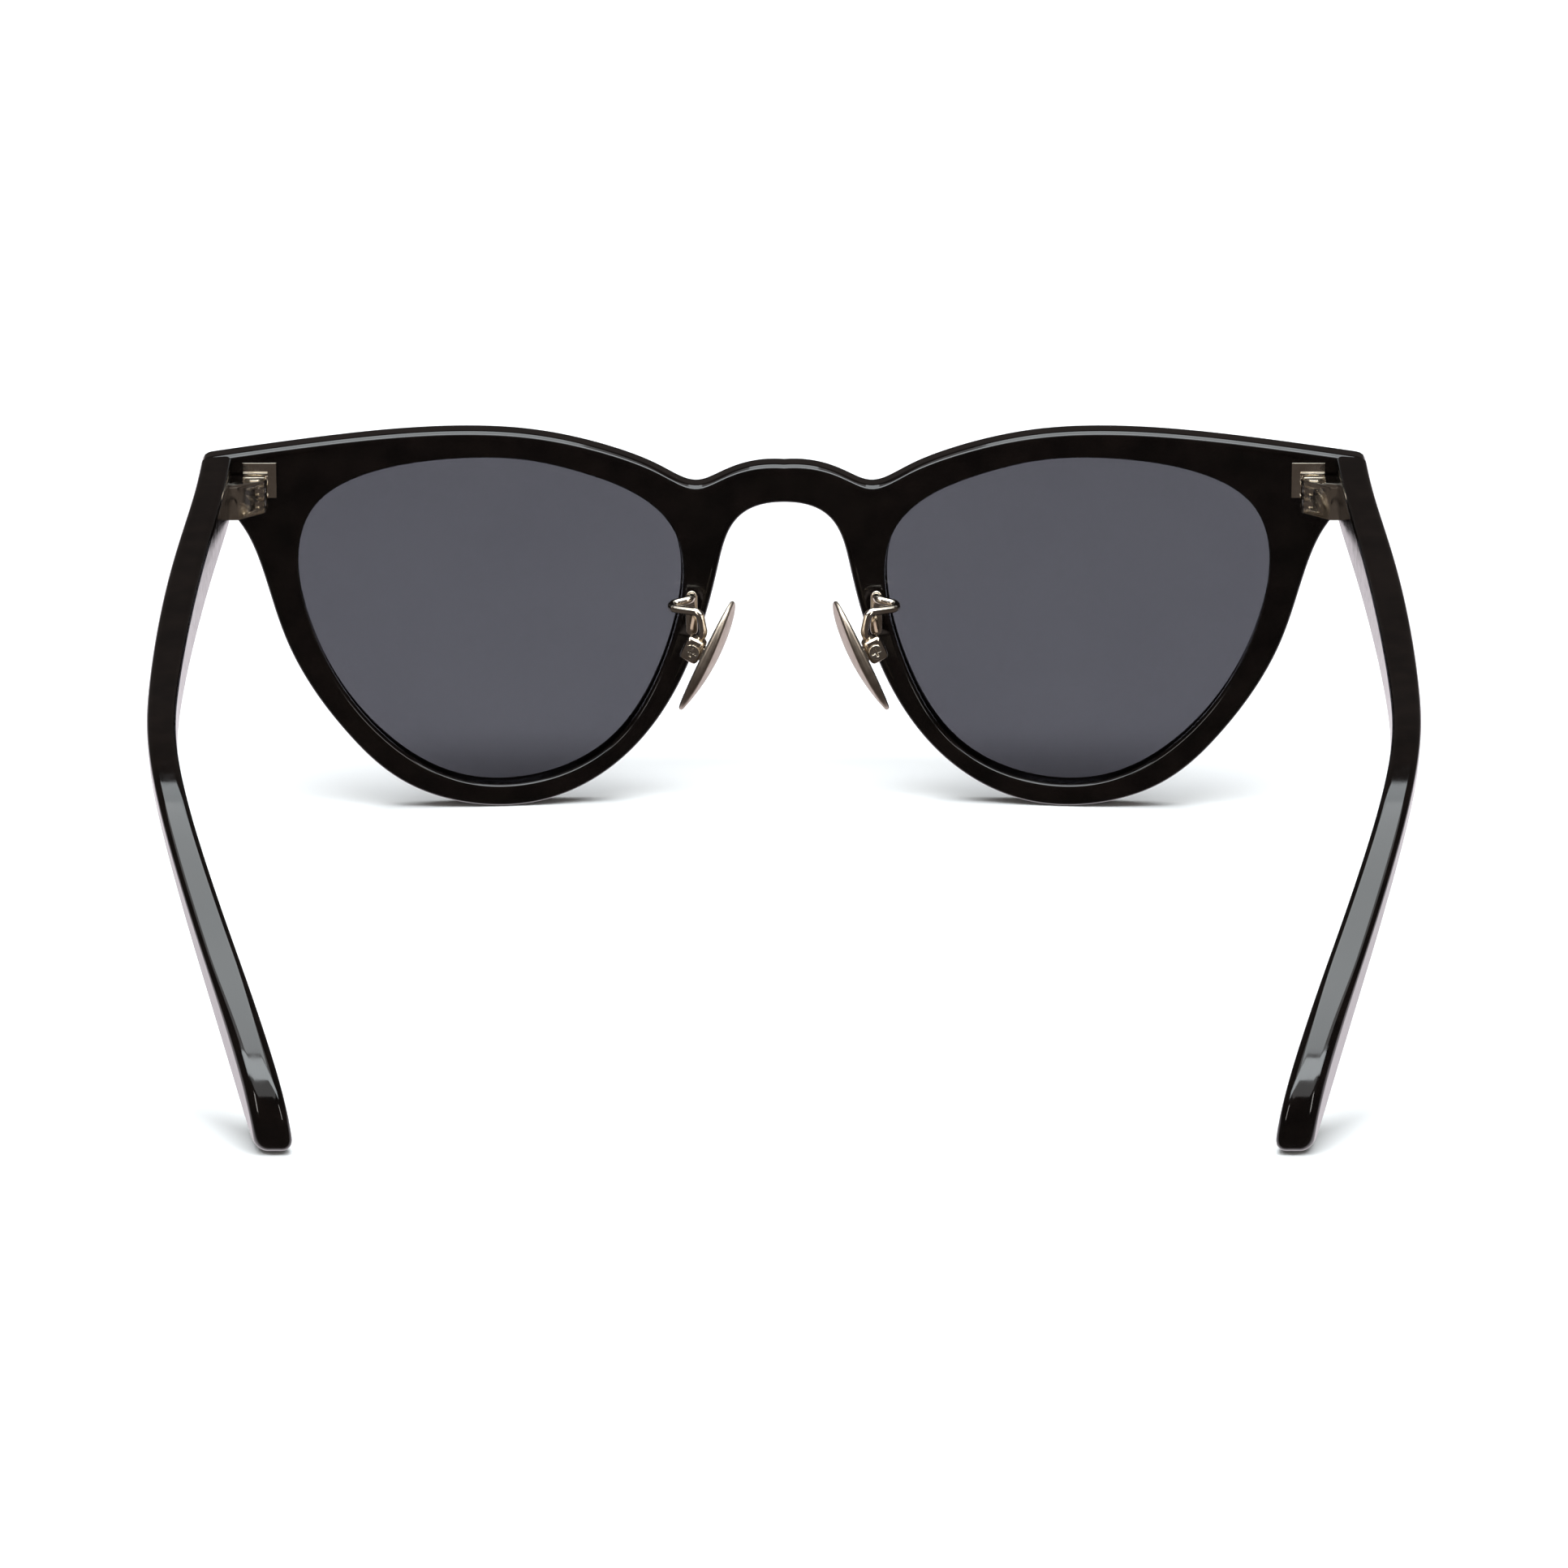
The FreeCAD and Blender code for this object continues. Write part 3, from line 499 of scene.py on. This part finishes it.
def make_lens(side):
    """A dished lens with a small chamfer round each face's edge."""
    sign = 1 if side == "left" else -1
    outline = lens_outline(LENS_WIDTH / 2 - LENS_GAP, LENS_HEIGHT / 2 - LENS_GAP, LENS_SPACING)
    middle = 0.04
    shares = [middle + 0.96 * k / LENS_RINGS for k in range(LENS_RINGS + 1)]
    points = []
    faces = []

    def at(u, w, level):
        radius = LENS_CURVE + level
        v = LENS_CURVE - LENS_FORWARD - math.sqrt(radius ** 2 - u ** 2 - w ** 2)
        c, s = math.cos(LENS_TURN), math.sin(LENS_TURN)
        y = MIDDLE_RADIUS - v
        return (sign * (u * c + y * s), FRONT_CURVE - (y * c - u * s) + FRONT_Y, LENS_Z + w)

    half = LENS_THICKNESS / 2
    levels = [half] * len(shares) + [half - LENS_CHAMFER, LENS_CHAMFER - half] + [-half] * len(shares)
    chamfered = 0.993
    scales = shares[:-1] + [chamfered, 1.0, 1.0, chamfered] + shares[-2::-1]
    for scale, level in zip(scales, levels):
        points += [at(u * scale, w * scale, level) for u, w in outline]
    count = len(outline)
    for ring in range(len(scales) - 1):
        for k in range(count):
            a = ring * count + k
            b = ring * count + (k + 1) % count
            faces.append((a, b, b + count, a + count))
    points.append(at(0, 0, half))
    points.append(at(0, 0, -half))
    last = (len(scales) - 1) * count
    for k in range(count):
        faces.append((len(points) - 2, (k + 1) % count, k))
        faces.append((len(points) - 1, last + k, last + (k + 1) % count))
    mesh = bpy.data.meshes.new(f"{side}_lens_glass")
    mesh.from_pydata([tuple(c * MM for c in p) for p in points], [], faces)
    lens = add_object(f"{side}_lens_glass", mesh)
    tidy_mesh(mesh, LENS_SHARP)
    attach(lens, "front")
    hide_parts(f"{side}_lens")
    return lens


# ---------------------------------------------------------------- temples

def back_face(x):
    return FRONT_CURVE - math.sqrt((FRONT_CURVE - FRONT_THICKNESS) ** 2 - x ** 2)


def temple_side(spacing):
    """The temple's outline from the side, as (y, z)."""
    start = back_face(HALF_FRONT - TEMPLE_THICKNESS)
    run = DEPTH - start
    top = [
        (0, TEMPLE_TOP), (0.07, 0.976 * TEMPLE_TOP), (0.18, 0.932 * TEMPLE_TOP),
        (0.364, 0.862 * TEMPLE_TOP), (0.535, 0.790 * TEMPLE_TOP), (0.738, 0.738 * TEMPLE_TOP),
        (0.862, 0.415 * TEMPLE_TOP), (1.0, 0.200 * TEMPLE_TOP), (1.0, 0.078 * TEMPLE_TOP),
    ]
    under = [
        (1.0, 0.078 * TEMPLE_TOP), (1.0, -0.004 * TEMPLE_TOP), (0.962, -0.012 * TEMPLE_TOP),
        (0.905, 0.140 * TEMPLE_TOP), (0.800, 0.420 * TEMPLE_TOP), (0.725, 0.628 * TEMPLE_TOP),
        (0.560, 0.682 * TEMPLE_TOP), (0.30, 0.908 * TEMPLE_TOP - TEMPLE_HEIGHT),
        (0.10, 0.973 * TEMPLE_TOP - TEMPLE_HEIGHT), (0, TEMPLE_TOP - TEMPLE_HEIGHT),
    ]
    top = open_spline([(start + a * run, z) for a, z in top], 400)
    under = open_spline([(start + a * run, z) for a, z in under], 400)
    reach = 3.0
    first = top[0] - (top[1] - top[0]) / np.linalg.norm(top[1] - top[0]) * reach
    last = under[-1] + (under[-1] - under[-2]) / np.linalg.norm(under[-1] - under[-2]) * reach
    return even(np.vstack([[first], top, under[1:], [last]]), spacing)


def temple_faces():
    """X of the temple's outer and inner face, by the distance along the drop's direction."""
    run = DEPTH * math.cos(TEMPLE_TILT) + TEMPLE_TOP * math.sin(TEMPLE_TILT)
    outer = [
        (0, 0), (0, 0.08), (0.5, 0.152), (2.1, 0.279),
        (2.7, 0.487), (0.9, 0.681), (-9.0, 0.889), (-12.9, 1),
    ]
    inner = [
        (0, 0), (0, 0.08), (0.6, 0.152), (1.9, 0.279),
        (2.9, 0.495), (1.6, 0.675), (-9.8, 0.895), (-13.4, 1),
    ]
    outer = open_spline([(TEMPLE_OUTER_X + x, share * run) for x, share in outer], 600)
    inner = open_spline([(TEMPLE_INNER_X + x, share * run) for x, share in inner], 600)
    return (
        lambda along: float(np.interp(along, outer[:, 1], outer[:, 0])),
        lambda along: float(np.interp(along, inner[:, 1], inner[:, 0])),
    )


def make_temple(side):
    outer, inner = temple_faces()
    butt = Vector((TEMPLE_OUTER_X, back_face(TEMPLE_OUTER_X) + TEMPLE_GAP, 0))
    across = Vector((TEMPLE_INNER_X, back_face(TEMPLE_INNER_X) + TEMPLE_GAP, 0)) - butt
    back, down = math.cos(TEMPLE_TILT), math.sin(TEMPLE_TILT)

    def along(y, z):
        return y * back - (z - TEMPLE_TOP) * down

    def near(y, z):
        return np.array([outer(along(y, z)), y, z])

    def far(y, z):
        return np.array([inner(along(y, z)), y, z])

    def facing(face, sign):
        def normal(y, z):
            here, step = along(y, z), 0.4
            slope = (face(here + step) - face(here - step)) / (2 * step)
            return sign * np.array([1.0, -slope * back, slope * down])
        return normal

    def rounding(y, z):
        """The edges get rounder towards the tip."""
        share = min(max((y - DEPTH + TIP_LENGTH) / TIP_BLEND, 0.0), 1.0)
        return TEMPLE_ROUNDING + TIP_ROUNDING * share * share * (3 - 2 * share)

    looks = {"near": facing(outer, 1), "far": facing(inner, -1)}
    plate = Plate()
    plate.edge(temple_side(TEMPLE_SPACING), near, far, lambda a, b: (0, a, b), rounding, facing=looks)
    plate.cover("near", near, TEMPLE_NET, looks["near"])
    plate.cover("far", far, TEMPLE_NET, looks["far"])
    trim = (butt, (across.y, -across.x, 0) if across.x > 0 else (-across.y, across.x, 0))
    temple = plate.build(f"{side}_acetate_temple", mirror=side == "right", trim=trim)
    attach(temple, f"{side}_temple_body")
    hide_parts(f"{side}_temple")
    return temple


# ---------------------------------------------------------------- nose pads

def pad_matrix():
    """The pad's own frame: local X away from the pad, local Y along the screw."""
    yaw = Matrix.Rotation(math.radians(-PAD_YAW), 4, "Z")
    lean = Matrix.Rotation(math.radians(-PAD_LEAN), 4, "Y")
    return Matrix.Translation(PAD_SCREW) @ (yaw @ lean)


def make_nose_pad(side):
    shape = [
        (1.27, 0), (1.0, 0.8), (0, 1.25), (-1.0, 0.8),
        (-1.27, 0), (-1.0, -0.8), (0, -1.25), (1.0, -0.8),
    ]
    poles = [(y * PAD_WIDTH / 2, z * PAD_LENGTH / 2) for y, z in shape]
    outline = even(closed_spline(poles, 480), PAD_SPACING)
    matrix = pad_matrix()
    turned = matrix.to_3x3()
    centre = PAD_CURVE - PAD_THICKNESS - PAD_STAND

    def dome(y, z):
        return math.sqrt(PAD_CURVE ** 2 - y ** 2 - z ** 2)

    def near(y, z):
        return np.array(matrix @ Vector((centre - dome(y, z), y, z)))

    def far(y, z):
        return np.array(matrix @ Vector((-PAD_STAND, y, z)))

    def rounding(y, z):
        return PAD_ROUNDING * min(1.0, dome(y, z) - centre - PAD_STAND)

    def spread(a, b):
        return np.array(turned @ Vector((0, a, b)))

    looks = {
        "near": lambda y, z: np.array(turned @ Vector((-dome(y, z), y, z))),
        "far": lambda y, z: np.array(turned @ Vector((1, 0, 0))),
    }
    plate = Plate()
    plate.edge(outline, near, far, spread, rounding, facing=looks)
    plate.cover("near", near, PAD_NET, looks["near"])
    plate.cover("far", far, PAD_NET, looks["far"])
    pad = plate.build(f"{side}_metal_pad", mirror=side == "right")
    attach(pad, f"{side}_pad_body")
    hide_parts(f"{side}_nose_pad")
    return pad


# ---------------------------------------------------------------- small metal

def polished(node, body, width, name):
    """A CAD piece with its edges broken and polished."""
    mesh = NODES[node].data.copy()
    mesh.name = name
    mesh.materials.clear()
    piece = add_object(name, mesh)
    work = bmesh.new()
    work.from_mesh(mesh)
    bmesh.ops.remove_doubles(work, verts=work.verts, dist=1e-6)
    bmesh.ops.dissolve_limit(work, angle_limit=math.radians(1.0), verts=work.verts, edges=work.edges)
    bmesh.ops.recalc_face_normals(work, faces=work.faces)
    limit = math.radians(EDGE_BREAK)
    sharp = [e for e in work.edges if len(e.link_faces) == 2 and e.calc_face_angle(0) > limit]
    bmesh.ops.bevel(
        work, geom=sharp, offset=width * MM, offset_type="OFFSET", segments=3, profile=0.5,
        affect="EDGES", clamp_overlap=True,
    )
    work.to_mesh(mesh)
    work.free()
    tidy_mesh(mesh, METAL_SHARP)
    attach(piece, body)
    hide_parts(node)
    return piece


def evaluated(piece):
    """Apply the modifiers of a piece."""
    view = bpy.context.evaluated_depsgraph_get()
    mesh = bpy.data.meshes.new_from_object(piece.evaluated_get(view))
    piece.modifiers.clear()
    piece.data = mesh


def block(name, low, high, matrix):
    """A plain block between two corners of a turned frame."""
    work = bmesh.new()
    bmesh.ops.create_cube(work, size=1.0)
    for vert in work.verts:
        place = [low[k] + (vert.co[k] + 0.5) * (high[k] - low[k]) for k in range(3)]
        vert.co = (matrix @ Vector(place) + Vector((0, FRONT_Y, 0))) * MM
    bmesh.ops.recalc_face_normals(work, faces=work.faces)
    mesh = bpy.data.meshes.new(name)
    work.to_mesh(mesh)
    work.free()
    return add_object(name, mesh)


def make_pad_box(side):
    """The small cast box, well rounded, with the slot for the pad's tab."""
    flip = Matrix.Scale(-1, 4, (1, 0, 0)) if side == "right" else Matrix.Identity(4)
    matrix = flip @ pad_matrix()
    wide, tall, reach, back, wall, rounding = 2.3, 3.1, 1.0, 1.35, 0.45, 0.55
    box = block(f"{side}_cast_box", (-reach, -wide / 2, -tall / 2), (back, wide / 2, tall / 2), matrix)
    bevel = box.modifiers.new("rounding", "BEVEL")
    bevel.width = rounding * MM
    bevel.segments = 5
    half = wide / 2 - wall
    slot = block("slot", (-reach - 1, -half, wall - tall / 2), (back - wall, half, tall / 2 - wall), matrix)
    carve = box.modifiers.new("slot", "BOOLEAN")
    carve.object = slot
    carve.solver = "EXACT"
    evaluated(box)
    bpy.data.objects.remove(slot)
    tidy_mesh(box.data, METAL_SHARP)
    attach(box, "front")
    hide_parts(f"{side}_pad_box")
    return box


def make_small_metal():
    """The small metal pieces of both sides, each with its material."""
    made = []
    for side in ("left", "right"):
        made.append((make_pad_box(side), "arm_metal"))
        temple_body = f"{side}_temple_body"
        for node, body, slot, width in (
            ("front_hinge", "front", "hinge_metal", 0.10),
            ("temple_hinge", temple_body, "hinge_metal", 0.10),
            ("hinge_screw", temple_body, "screw_metal", 0.05),
            ("pad_mount", "front", "arm_metal", 0.16),
            ("pad_arm", "front", "arm_metal", 0.03),
            ("pad_screw", "front", "screw_metal", 0.05),
            ("pad_lug", f"{side}_pad_body", "arm_metal", 0.06),
        ):
            piece = polished(f"{side}_{node}", body, width, f"{side}_{node}_polished")
            made.append((piece, slot))
    return made


# ---------------------------------------------------------------- materials

def new_material(name):
    material = bpy.data.materials.new(name)
    material.use_nodes = True
    tree = material.node_tree
    shader = tree.nodes["Principled BSDF"]
    return material, tree, shader


def noise(tree, scale, detail=4.0):
    where = tree.nodes.new("ShaderNodeTexCoord")
    node = tree.nodes.new("ShaderNodeTexNoise")
    node.inputs["Scale"].default_value = scale
    node.inputs["Detail"].default_value = detail
    node.inputs["Roughness"].default_value = 0.5
    tree.links.new(where.outputs["Object"], node.inputs["Vector"])
    return node


def spread_values(tree, source, low, high):
    node = tree.nodes.new("ShaderNodeMapRange")
    node.inputs["From Min"].default_value = 0.3
    node.inputs["From Max"].default_value = 0.7
    node.inputs["To Min"].default_value = low
    node.inputs["To Max"].default_value = high
    tree.links.new(source.outputs["Fac"], node.inputs["Value"])
    return node.outputs["Result"]


def ramp(tree, source, low, high):
    node = tree.nodes.new("ShaderNodeValToRGB")
    node.color_ramp.elements[0].position = 0.35
    node.color_ramp.elements[0].color = (*low, 1)
    node.color_ramp.elements[1].position = 0.65
    node.color_ramp.elements[1].color = (*high, 1)
    tree.links.new(source.outputs["Fac"], node.inputs["Fac"])
    return node.outputs["Color"]


def bump(tree, shader, source, strength, distance, before=None):
    node = tree.nodes.new("ShaderNodeBump")
    node.inputs["Strength"].default_value = strength
    node.inputs["Distance"].default_value = distance
    tree.links.new(source.outputs["Fac"], node.inputs["Height"])
    if before:
        tree.links.new(before, node.inputs["Normal"])
    tree.links.new(node.outputs["Normal"], shader.inputs["Normal"])
    return node.outputs["Normal"]


def acetate():
    """Hand-polished black acetate: warm black, with slow waves and faint polishing haze."""
    material, tree, shader = new_material("black_acetate")
    colour = ramp(tree, noise(tree, 260), (0.0012, 0.0008, 0.0007), (0.0034, 0.0022, 0.0018))
    tree.links.new(colour, shader.inputs["Base Color"])
    haze = spread_values(tree, noise(tree, 900, 6), 0.06, 0.13)
    tree.links.new(haze, shader.inputs["Roughness"])
    shader.inputs["IOR"].default_value = 1.46
    shader.inputs["Specular IOR Level"].default_value = 0.5
    waves = bump(tree, shader, noise(tree, 120, 2), 0.12, 0.0002)
    bump(tree, shader, noise(tree, 2600, 3), 0.03, 0.00003, waves)
    return material


def lens_glass():
    """Neutral grey tinted lens."""
    material, tree, shader = new_material("grey_lens")
    colour = ramp(tree, noise(tree, 35, 2), (0.065, 0.063, 0.074), (0.068, 0.066, 0.077))
    tree.links.new(colour, shader.inputs["Base Color"])
    tree.links.new(spread_values(tree, noise(tree, 60, 2), 0.0, 0.02), shader.inputs["Roughness"])
    shader.inputs["Transmission Weight"].default_value = 1.0
    shader.inputs["IOR"].default_value = 1.2
    shader.inputs["Specular IOR Level"].default_value = 0.35
    bump(tree, shader, noise(tree, 18, 1), 0.004, 0.0001)
    return material


def metal(name, low, high, rough, grain, grain_strength, wave=0.0):
    """A metal with a fine grain, and colour that drifts a little."""
    material, tree, shader = new_material(name)
    tree.links.new(ramp(tree, noise(tree, 420), low, high), shader.inputs["Base Color"])
    tree.links.new(spread_values(tree, noise(tree, 1500, 5), *rough), shader.inputs["Roughness"])
    shader.inputs["Metallic"].default_value = 1.0
    before = bump(tree, shader, noise(tree, grain, 3), grain_strength, 0.00004)
    if wave:
        bump(tree, shader, noise(tree, 700, 2), wave, 0.0001, before)
    return material


def give_materials(pieces):
    looks = {
        "black_acetate": acetate(),
        "grey_lens": lens_glass(),
    }
    metals = (
        ("hinge_metal", (0.66, 0.58, 0.47), (0.84, 0.77, 0.66), (0.07, 0.14), 5000, 0.03, 0.02),
        ("arm_metal", (0.66, 0.58, 0.48), (0.84, 0.77, 0.67), (0.07, 0.14), 6000, 0.03, 0.04),
        ("screw_metal", (0.66, 0.60, 0.51), (0.86, 0.81, 0.72), (0.10, 0.18), 7000, 0.05),
        ("pad_metal", (0.44, 0.37, 0.30), (0.54, 0.46, 0.38), (0.34, 0.44), 9000, 0.14),
        ("core_steel", (0.45, 0.45, 0.45), (0.55, 0.55, 0.55), (0.3, 0.4), 4000, 0.1),
    )
    for name, *values in metals:
        looks[name] = metal(name, *values)
    for piece, slot in pieces:
        piece.data.materials.clear()
        piece.data.materials.append(looks[slot])
    for side in ("left", "right"):
        wire = NODES[f"{side}_core_wire"]
        for entry in wire.material_slots:
            entry.material = looks["core_steel"]


# ---------------------------------------------------------------- studio

def area_light(name, place, target, wide, deep, power, colour=(1, 1, 1)):
    data = bpy.data.lights.new(name, "AREA")
    data.shape = "RECTANGLE"
    data.size = wide
    data.size_y = deep
    data.energy = power
    data.color = colour
    light = add_object(name, data)
    light.location = place
    aim = Vector(target) - Vector(place)
    light.rotation_euler = aim.to_track_quat("-Z", "Y").to_euler()


def make_floor():
    """A plain pale floor, kept out of the gloss so that black acetate stays black."""
    mesh = bpy.data.meshes.new("studio_floor")
    half = 3.0
    corners = [(-half, -half, 0), (half, -half, 0), (half, half, 0), (-half, half, 0)]
    mesh.from_pydata(corners, [], [(0, 1, 2, 3)])
    floor = add_object("studio_floor", mesh)
    floor.visible_glossy = False
    material, tree, shader = new_material("pale_floor")
    colour = ramp(tree, noise(tree, 3), (0.90, 0.90, 0.90), (0.93, 0.93, 0.93))
    tree.links.new(colour, shader.inputs["Base Color"])
    shader.inputs["Roughness"].default_value = 0.9
    shader.inputs["Specular IOR Level"].default_value = 0.1
    mesh.materials.append(material)


def make_room():
    """A dark room, pale only low down beyond the glasses."""
    world = bpy.data.worlds.new("studio")
    world.use_nodes = True
    tree = world.node_tree
    where = tree.nodes.new("ShaderNodeTexCoord")
    parts = tree.nodes.new("ShaderNodeSeparateXYZ")
    tree.links.new(where.outputs["Generated"], parts.inputs["Vector"])
    shares = []
    for axis, start, end in (("Y", -0.15, -0.55), ("Z", 0.0, -0.12)):
        share = tree.nodes.new("ShaderNodeMapRange")
        share.interpolation_type = "SMOOTHSTEP"
        share.inputs["From Min"].default_value = start
        share.inputs["From Max"].default_value = end
        tree.links.new(parts.outputs[axis], share.inputs["Value"])
        shares.append(share.outputs["Result"])
    both = tree.nodes.new("ShaderNodeMath")
    both.operation = "MULTIPLY"
    tree.links.new(shares[0], both.inputs[0])
    tree.links.new(shares[1], both.inputs[1])
    colour = tree.nodes.new("ShaderNodeMix")
    colour.data_type = "RGBA"
    colour.inputs["A"].default_value = (0.070, 0.060, 0.056, 1)
    colour.inputs["B"].default_value = (1.0, 0.93, 0.98, 1)
    tree.links.new(both.outputs["Value"], colour.inputs["Factor"])
    tree.links.new(colour.outputs["Result"], tree.nodes["Background"].inputs["Color"])
    bpy.context.scene.world = world


def make_studio():
    make_floor()
    make_room()
    cool = (0.90, 0.97, 1.0)
    area_light("drop_softbox", (0, -0.17, 0.9), (0, -0.17, 0), 0.5, 0.76, 5.1, cool)
    area_light("edge_strip", (0, 0.36, 0.85), (0, -0.07, 0.03), 1.8, 0.26, 11.0, cool)
    for name, x in (("left_reed", 0.62), ("right_reed", -0.62)):
        area_light(name, (x, 0.75, 0.34), (0, -0.05, 0.02), 0.09, 0.5, 1.3, (1.0, 0.97, 0.93))
    data = bpy.data.lights.new("high_fill", "SUN")
    data.energy = 1.5
    data.angle = math.radians(70)
    fill = add_object("high_fill", data)
    fill.rotation_euler = Euler((math.radians(-12), 0, 0))
    bpy.context.scene.view_settings.view_transform = "Standard"


def make_camera():
    """The viewing angle: behind the glasses, 16 degrees above the table, from 1.2 m."""
    data = bpy.data.cameras.new("camera")
    camera = add_object("camera", data)
    data.sensor_width = 36.0
    data.lens = 225.2
    up = math.radians(16.0)
    reach = 1.2
    aim_height = 0.0013
    camera.location = (0, reach * math.cos(up) + FRONT_Y * MM, reach * math.sin(up) + aim_height)
    aim = Vector((0, -math.cos(up), -math.sin(up)))
    camera.rotation_euler = aim.to_track_quat("-Z", "Y").to_euler()
    bpy.context.scene.camera = camera


# ---------------------------------------------------------------- making

make_camera()
pieces = [(make_front(), "black_acetate")]
for side in ("left", "right"):
    pieces.append((make_lens(side), "grey_lens"))
    pieces.append((make_temple(side), "black_acetate"))
    pieces.append((make_nose_pad(side), "pad_metal"))
pieces += make_small_metal()
give_materials(pieces)
make_studio()
